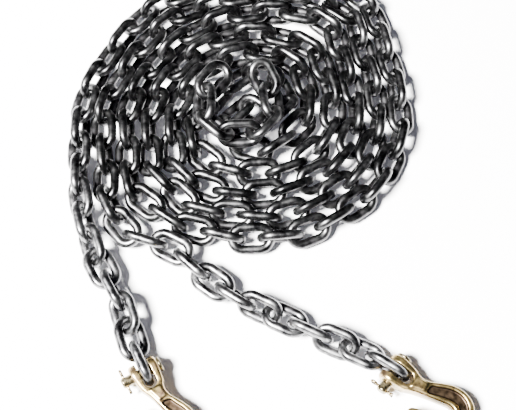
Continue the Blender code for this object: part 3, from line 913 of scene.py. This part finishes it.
def turned_plating():
    """Turned bar with fine rings from the tool, plated dull yellow with grey wear in patches."""
    mat, tree, shader, place = metal("turned_plating")
    patches = noise(tree, place, scale=240, detail=4, roughness=0.6)
    tree.links.new(ramp(tree, patches, PIN_SHADES), shader.inputs["Base Color"])
    rough = plus(tree, times(tree, patches, PIN_PATCH_ROUGH), PIN_ROUGH)
    tree.links.new(rough, shader.inputs["Roughness"])
    rings = tree.nodes.new("ShaderNodeTexNoise")
    rings.noise_dimensions = "1D"
    rings.inputs["Scale"].default_value = TOOL_RINGS
    tree.links.new(told(tree, "along"), rings.inputs["W"])
    add_relief(tree, shader, rings.outputs["Fac"], strength=0.15, depth=0.0002)
    return mat


plating = turned_plating()
spans = np.hypot(*np.diff(np.array(PIN_PROFILE) / MM, axis=0).T)
along = np.repeat(np.concatenate([[0.0], np.cumsum(spans)]), PIN_SIDES)
for side in PLACES:
    pin = ringed_mesh("pin", turned_rings(PIN_PROFILE, PIN_SIDES))
    add_values(pin, "along", along)
    add_piece("round_pin", pin, side, "clevis_pin", plating)


# The split pins
# Each is one length of half-round wire folded flat to flat, with an eye where it turns back. It is
# pushed through the pin's tail from the chain's side and its two legs are bent apart.

SPLIT_Y = -0.022
# the line of the folded wire, in millimetres
SPLIT_LINE = ((11.0, 4.3), (10.2, 3.0), (9.0, 1.6), (7.6, 0.82), (4, 0.75), (-3, 0.75), (-6.4, 0.8),
              (-7.5, 1.5), (-8.5, 2.55), (-9.9, 3.15), (-11.6, 3.1), (-13.2, 2.1), (-14.0, 0),
              (-13.2, -2.1), (-11.6, -3.1), (-9.9, -3.15), (-8.5, -2.55), (-7.5, -1.5),
              (-6.4, -0.8), (-3, -0.75), (4, -0.75), (7.3, -0.85), (8.9, -1.8), (10.3, -3.2),
              (12.0, -4.4))
SPLIT_STEPS = 5
# half-round section: where its flat side lies, how far it bulges, and its half width flat and round
FLAT_AT = -0.00074
BULGE = 0.00145
FLAT_HALF = 0.0012
ROUND_HALF = 0.00143
ROUND_ARC = (-90, 90, 11)
WIRE_SHADES = ((0.35, (0.05, 0.034, 0.02)), (0.50, (0.24, 0.18, 0.09)), (0.66, (0.42, 0.35, 0.21)))
WIRE_ROUGH, WIRE_PATCH_ROUGH = 0.16, 0.3


def half_round(line):
    """Half-round section carried along a flat line: its flat side lies on the line's left, 0.74 mm
    away, and its round side bulges to the right by cos v while it spreads across the line's plane
    by sin v."""
    along = np.gradient(line, axis=0)
    along /= np.linalg.norm(along, axis=1)[:, None]
    right = np.column_stack([along[:, 1], -along[:, 0]])
    v = np.radians(np.linspace(*ROUND_ARC))
    out = np.concatenate([[FLAT_AT], FLAT_AT + BULGE * np.cos(v), [FLAT_AT]])
    across = np.concatenate([[-FLAT_HALF], ROUND_HALF * np.sin(v), [FLAT_HALF]])
    flat = line[:, None] + right[:, None] * out[None, :, None]
    spread = np.broadcast_to(SPLIT_Y + across[None], flat.shape[:2])
    return np.stack([flat[..., 0], spread, flat[..., 1]], axis=-1)


def drawn_wire():
    """Soft drawn wire with fine marks, plated yellow and dirty in patches."""
    mat, tree, shader, place = metal("drawn_wire")
    patches = noise(tree, place, scale=380, detail=4, roughness=0.6)
    tree.links.new(ramp(tree, patches, WIRE_SHADES), shader.inputs["Base Color"])
    rough = plus(tree, times(tree, patches, WIRE_PATCH_ROUGH), WIRE_ROUGH)
    tree.links.new(rough, shader.inputs["Roughness"])
    marks = noise(tree, place, scale=2200, detail=3)
    add_relief(tree, shader, marks, strength=0.2, depth=0.0002)
    return mat


soft_wire = drawn_wire()
for side in PLACES:
    split = ringed_mesh("split_pin", half_round(through(SPLIT_LINE, SPLIT_STEPS, closed=False)))
    add_piece("split_pin", split, side, "cotter_pin", soft_wire)


# The setting
# A pale floor that the chain lies on, one lamp high on the left that stands for a window, and a
# camera that looks down as in the photograph. None of it belongs to the object.

FLOOR_HALF = 6.0
FLOOR_COLOUR = (0.92, 0.92, 0.93)
FLOOR_ROUGH = 0.75
FLOOR_GLOW = (0.84, 0.84, 1.0)
GLOW_STRENGTH = 0.08
WINDOW_PLACE = (-2.40, -1.37, 3.95)
WINDOW_AIM = (0, -0.1, 0)
WINDOW_SIZE = 1.30
WINDOW_POWER = 5000.0
WINDOW_COLOUR = (1.0, 0.99, 0.97)
ROOM_COLOUR = (0.64, 0.66, 1.0)
ROOM_STRENGTH = 0.05
FRAME_MIDDLE = (0.001, -0.113, 0.015)
DISTANCE = 1.2
ELEVATION = 67.0
LENS = 77.9
SENSOR = 36.0
FARTHEST = 20.0


def add_floor():
    """Flat square floor with a faint glow, which stands for the light that the room throws back."""
    half = FLOOR_HALF
    corners = [(-half, -half, 0), (half, -half, 0), (half, half, 0), (-half, half, 0)]
    mesh = bpy.data.meshes.new("floor")
    mesh.from_pydata(corners, [], [(0, 1, 2, 3)])
    floor = bpy.data.objects.new("floor", mesh)
    bpy.context.scene.collection.objects.link(floor)
    mat = bpy.data.materials.new("floor_paint")
    mat.use_nodes = True
    shader = mat.node_tree.nodes["Principled BSDF"]
    shader.inputs["Base Color"].default_value = (*FLOOR_COLOUR, 1.0)
    shader.inputs["Roughness"].default_value = FLOOR_ROUGH
    shader.inputs["Emission Color"].default_value = (*FLOOR_GLOW, 1.0)
    shader.inputs["Emission Strength"].default_value = GLOW_STRENGTH
    mesh.materials.append(mat)


def add_window():
    """Round lamp as large as a window looks from the chain, turned towards it."""
    data = bpy.data.lights.new("window", "AREA")
    data.shape = "DISK"
    data.size = WINDOW_SIZE
    data.energy = WINDOW_POWER
    data.color = WINDOW_COLOUR
    light = bpy.data.objects.new("window", data)
    light.location = WINDOW_PLACE
    direction = np.array(WINDOW_AIM) - np.array(WINDOW_PLACE)
    light.rotation_mode = "QUATERNION"
    light.rotation_quaternion = Vector(direction).to_track_quat("-Z", "Y")
    bpy.context.scene.collection.objects.link(light)


def add_room():
    """Faint bluish light from all round."""
    world = bpy.data.worlds.new("room")
    world.use_nodes = True
    around = world.node_tree.nodes["Background"]
    around.inputs["Color"].default_value = (*ROOM_COLOUR, 1.0)
    around.inputs["Strength"].default_value = ROOM_STRENGTH
    bpy.context.scene.world = world


def add_camera():
    """Camera at its distance from the middle of the picture, looking down by its elevation."""
    data = bpy.data.cameras.new("camera")
    data.lens = LENS
    data.sensor_width = SENSOR
    data.clip_end = FARTHEST
    cam = bpy.data.objects.new("camera", data)
    up = math.radians(ELEVATION)
    back = Vector((0.0, -math.cos(up), math.sin(up)))
    cam.location = Vector(FRAME_MIDDLE) + back * DISTANCE
    cam.rotation_mode = "QUATERNION"
    cam.rotation_quaternion = (-back).to_track_quat("-Z", "Y")
    bpy.context.scene.collection.objects.link(cam)
    bpy.context.scene.camera = cam


add_floor()
add_window()
add_room()
add_camera()
